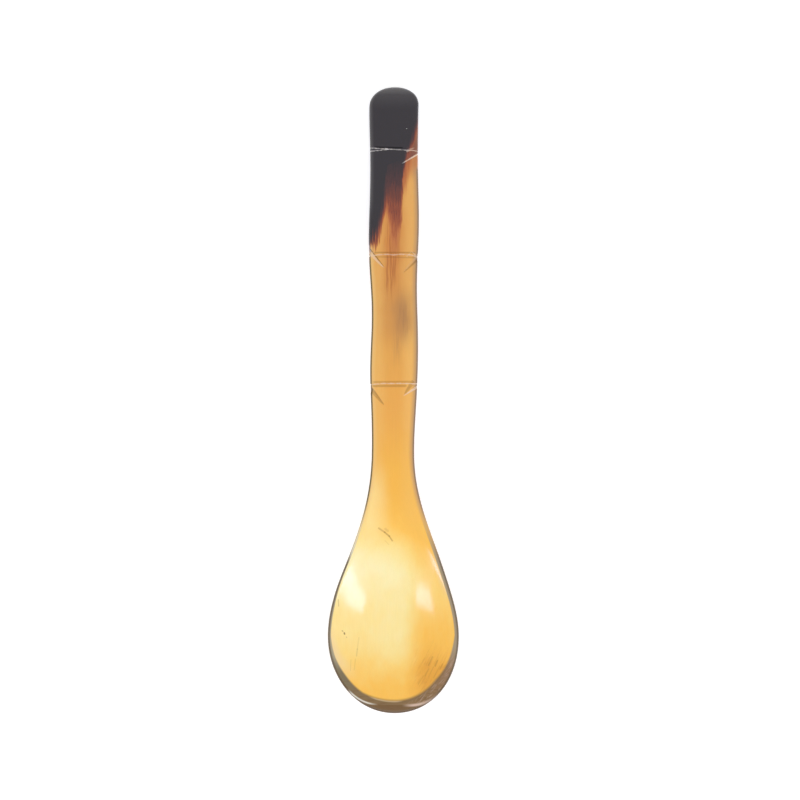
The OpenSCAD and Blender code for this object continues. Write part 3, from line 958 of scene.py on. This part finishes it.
def fibreColour(tree, colour, place, places):
    # cloud and stain in the third segment, then the wash and the fibres that trail down from the black
    bentX, s = places["bentX"], places["s"]
    cloud = mask(tree, places, "cloud", throughFibres(tree, places, "cloud"))
    stained = stroke(tree, bentX, s, *stainStroke)
    stain = mask(tree, places, "stain", stained, throughFibres(tree, places, "stain"))
    colour = overlay(tree, most(tree, cloud, stain), colour, tone("smudge"))
    colour = paint(tree, colour, places, "wash", throughFibres(tree, places, "wash"))
    sway = calc(tree, "MULTIPLY", grain(tree, place, "sway"), hornStray["sway"])
    sideways = node(tree, "ShaderNodeCombineXYZ", {"X": sway}).outputs[0]
    swayed = node(tree, "ShaderNodeVectorMath", {0: place, 1: sideways}, operation="ADD").outputs[0]
    colour = paint(tree, colour, places, "hair", grain(tree, swayed, "hair"))
    for start, end, width, darkness in fibreLines:
        begins = rise(tree, s, *(start[1] + past for past in fibreStart))
        ends = rise(tree, s, end[1], end[1] - fibreEnd)
        line = product(tree, stroke(tree, bentX, s, start, end, width), begins, ends, darkness)
        colour = overlay(tree, line, colour, tone("fibreDark"))
    return paint(tree, colour, places, "redWash")


def blackColour(tree, colour, places):
    pigment = toneRamp(tree, places["density"], "pigment")
    colour = overlay(tree, mask(tree, places, "black"), colour, pigment)
    red = paint(tree, tone("redInner"), places, "redAtEdge")
    colour = overlay(tree, mask(tree, places, "redCorner"), colour, red)
    sheens = [mask(tree, places, name) for name in ("edgeSheen", "endSheen", "farEndSheen")]
    return overlay(tree, most(tree, *sheens), colour, tone("endGrey"))


def edgeColour(tree, colour, place, places):
    # painted light on the edges: pale reflections beside the handle's sides, and painted shade where thick
    # edges look grey-brown, along the handle's sides and round the rim
    clearHandle = product(tree, mask(tree, places, "handle"), mask(tree, places, "clear"))
    strip = paint(tree, tone("reflectionLeft"), places, "sideReflectionOnRight")
    colour = overlay(tree, mask(tree, places, "strip", clearHandle), colour, strip)
    line = paint(tree, tone("edgeShadeLeft"), places, "edgeShadeOnRight")
    colour = overlay(tree, mask(tree, places, "line", clearHandle), colour, line)
    inBowl = mask(tree, places, "inBowl")
    colour = paint(tree, colour, places, "leftHalo", inBowl)
    colour = paint(tree, colour, places, "rightHalo", inBowl)
    return overlay(tree, mask(tree, places, "rim", inBowl), colour, rimColour(tree, place, places))


def rimColour(tree, place, places):
    # a flat land with a bevel outside it, both in painted shade, and painted highlights along the crease
    # between them and along the lip
    right = paint(tree, tone("rimRightSide"), places, "rimLowRight")
    rim = overlay(tree, mask(tree, places, "rimOnRight"), tone("rimLeft"), right)
    rim = paint(tree, rim, places, "rimSoft")
    rim = paint(tree, rim, places, "rimBottom")
    rim = paint(tree, rim, places, "rimVeins", grain(tree, place, "rimVeins"))
    rim = paint(tree, rim, places, "rimRubbing", grain(tree, place, "rimRubbing"))
    rim = paint(tree, rim, places, "rimInner")
    rim = paint(tree, rim, places, "rimBevel")
    outer = paint(tree, tone("rimOuterSide"), places, "rimOuterLow")
    rim = overlay(tree, mask(tree, places, "rimOuter"), rim, outer)
    for name in ("leftShine", "rightShine", "lipHighlight"):
        rim = paint(tree, rim, places, name)
    return rim


def cutColour(tree, colour, place, places):
    # small marks, then painted shade on the dark sides of the cuts, and their frosted floors
    front = mask(tree, places, "front")
    for name, marks in hornMarks.items():
        for start, end, width, darkness in marks:
            mark = product(tree, stroke(tree, places["x"], places["s"], start, end, width), darkness, front)
            colour = overlay(tree, mark, colour, tone(name))
    cutShadeTone = paint(tree, tone("score"), places, "cutShadedOnBlack")
    colour = overlay(tree, mask(tree, places, "cutShaded", places["score"]), colour, cutShadeTone)
    frostTone = paint(tree, tone("frostOnAmber"), places, "frostedBlack")
    between, change = hornStray["frost"]
    patchy = shifted(tree, between, grain(tree, place, "frostPatches"), change)
    return overlay(tree, mask(tree, places, "frosted", places["frost"], patchy), colour, frostTone)


def hornRoughness(tree, place, places):
    # polished, a little uneven, dull in the cuts
    smears = grain(tree, place, "smears")
    smeared = shifted(tree, hornFinish["roughness"], smears, hornFinish["smearRoughness"])
    return shifted(tree, smeared, places["frost"], hornFinish["cutRoughness"])


def hornMirror(tree, places):
    # less of the room is mirrored at the thin edges and inside the scores
    edges = most(tree, mask(tree, places, "inBowl"), mask(tree, places, "clear"))
    edgeLoss = product(tree, mask(tree, places, "thinEdge", edges), hornFinish["edgeDulling"])
    scoreLoss = product(tree, places["score"], hornFinish["scoreDulling"])
    return product(tree, without(tree, edgeLoss), without(tree, scoreLoss), hornFinish["specular"])


def hornRelief(tree, place):
    # polishing waves, fibres and fine rubbing scratches
    height = calc(tree, "MULTIPLY", grain(tree, place, "waves"), hornFinish["waveHeight"])
    height = shifted(tree, height, grain(tree, place, "fibreRelief"), hornFinish["fibreHeight"])
    height = shifted(tree, height, grain(tree, place, "rubRelief"), hornFinish["rubHeight"])
    bump = node(tree, "ShaderNodeBump", {"Height": height, "Strength": hornFinish["reliefStrength"],
                                         "Distance": mm})
    return bump.outputs["Normal"]


def hornMaterial():
    material = bpy.data.materials.new("polishedHorn")
    material.use_nodes = True
    tree = material.node_tree
    tree.nodes.clear()
    origin = node(tree, "ShaderNodeTexCoord").outputs["Object"]
    place = node(tree, "ShaderNodeMapping", {"Vector": origin, "Scale": (1 / mm,) * 3}).outputs["Vector"]
    places = hornPlaces(tree, place)
    colour = amberColour(tree, places)
    colour = bowlColour(tree, colour, place, places)
    colour = fibreColour(tree, colour, place, places)
    colour = blackColour(tree, colour, places)
    fineFibres = shifted(tree, 1.0, places["fineFibre"], hornStray["fineFibre"])
    colour = node(tree, "ShaderNodeHueSaturation", {"Color": colour, "Value": fineFibres}).outputs["Color"]
    colour = edgeColour(tree, colour, place, places)
    colour = cutColour(tree, colour, place, places)
    shader = node(tree, "ShaderNodeBsdfPrincipled", {
        "Base Color": colour,
        "Roughness": hornRoughness(tree, place, places),
        "Normal": hornRelief(tree, place),
        "IOR": hornFinish["ior"],
        "Specular IOR Level": hornMirror(tree, places),
        "Subsurface Weight": hornFinish["subsurface"],
        "Subsurface Radius": hornFinish["scatter"],
        "Subsurface Scale": hornFinish["scatterScale"],
    })
    output = node(tree, "ShaderNodeOutputMaterial")
    feed(tree, output.inputs["Surface"], shader.outputs["BSDF"])
    return material


spoon = makeSpoon()
spoon.data.materials.append(hornMaterial())
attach(spoon, "root")
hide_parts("spoon")
print("horn finish laid on")


# plain white table, soft lights and a white room

studio = {
    "tableSize": 6.0,                   # metres
    "tableTone": 0.8,
    "cameraWhite": 0.5,                 # glow of the table that only the camera and mirrors see
    "roomStrength": 0.9,                # light of the room on everything
    "roomWhite": 1.0,                   # and as the camera sees it
    # name, degrees round from +X, degrees up, width and height in metres, lean in degrees, watts
    "lamps": (
        ("lampRight", -22.6, 32.6, (0.124, 0.3), -6.0, 0.93),
        ("lampLeft", -156.0, 39.2, (0.107, 0.22), -25.7, 0.56),
    ),
    "lampDistance": 0.7,
    "lampTarget": (0.0, -0.05, 0.005),
    "lampColour": (0.62, 0.63, 1.0),
}


def makeTable():
    half = studio["tableSize"] / 2
    mesh = bpy.data.meshes.new("table")
    corners = [(-half, -half, 0), (half, -half, 0), (half, half, 0), (-half, half, 0)]
    mesh.from_pydata(corners, [], [(0, 1, 2, 3)])
    table = bpy.data.objects.new("table", mesh)
    bpy.context.scene.collection.objects.link(table)
    material = bpy.data.materials.new("whiteTable")
    material.use_nodes = True
    tree = material.node_tree
    tree.nodes.clear()
    path = node(tree, "ShaderNodeLightPath")
    mirrored = calc(tree, "MAXIMUM", path.outputs["Is Glossy Ray"], path.outputs["Is Transmission Ray"])
    seen = calc(tree, "MAXIMUM", path.outputs["Is Camera Ray"], mirrored)
    plain = node(tree, "ShaderNodeBsdfDiffuse", {"Color": (studio["tableTone"],) * 3 + (1.0,)})
    whiteness = calc(tree, "MULTIPLY", seen, studio["cameraWhite"])
    glow = node(tree, "ShaderNodeEmission", {"Strength": whiteness})
    both = node(tree, "ShaderNodeAddShader", {0: plain.outputs[0], 1: glow.outputs[0]})
    output = node(tree, "ShaderNodeOutputMaterial")
    feed(tree, output.inputs["Surface"], both.outputs[0])
    mesh.materials.append(material)


def makeRoom():
    world = bpy.data.worlds.new("whiteRoom")
    bpy.context.scene.world = world
    world.use_nodes = True
    tree = world.node_tree
    seen = node(tree, "ShaderNodeLightPath").outputs["Is Camera Ray"]
    strength = node(tree, "ShaderNodeMix", {0: seen, 2: studio["roomStrength"], 3: studio["roomWhite"]},
                    data_type="FLOAT")
    background = tree.nodes["Background"]
    feed(tree, background.inputs["Color"], (1.0, 1.0, 1.0, 1.0))
    feed(tree, background.inputs["Strength"], strength.outputs[0])


def makeLamps():
    target = Vector(studio["lampTarget"])
    for name, turn, climb, (width, height), lean, power in studio["lamps"]:
        light = bpy.data.lights.new(name, "AREA")
        light.shape = "RECTANGLE"
        light.size = width
        light.size_y = height
        light.energy = power
        light.color = studio["lampColour"]
        lamp = bpy.data.objects.new(name, light)
        level = math.cos(math.radians(climb))
        away = Vector((math.cos(math.radians(turn)) * level, math.sin(math.radians(turn)) * level,
                       math.sin(math.radians(climb))))
        lamp.location = target + away * studio["lampDistance"]
        aim = (-away).to_track_quat("-Z", "Y")
        lamp.rotation_euler = (aim @ Quaternion((0, 0, 1), math.radians(lean))).to_euler()
        bpy.context.scene.collection.objects.link(lamp)


makeTable()
makeRoom()
makeLamps()
print("table, room and lamps in place")


# camera: straight above, framed as in the photograph

photo = {
    "pixels": 800,
    "lengthPixels": 626.4,              # the spoon from end to end
    "middlePixel": (393.4, 399.8),      # the middle of the spoon
    "distance": 2.0,                    # metres above the table
    "meanHeight": 0.006,                # the spoon's own, where the scale is exact
}


def makeCamera():
    camera = bpy.data.cameras.new("above")
    camera.sensor_width = 36.0
    pixel = spoonLength * mm / photo["lengthPixels"]
    viewWidth = pixel * photo["pixels"]
    camera.lens = camera.sensor_width * (photo["distance"] - photo["meanHeight"]) / viewWidth
    camera.clip_end = 20.0
    eye = bpy.data.objects.new("above", camera)
    offRight = (photo["pixels"] / 2 - photo["middlePixel"][0]) * pixel
    offUp = (photo["middlePixel"][1] - photo["pixels"] / 2) * pixel
    eye.location = (offRight, offUp, photo["distance"])
    bpy.context.scene.collection.objects.link(eye)
    bpy.context.scene.camera = eye
    bpy.context.scene.view_settings.view_transform = "Standard"


makeCamera()
print("camera set")
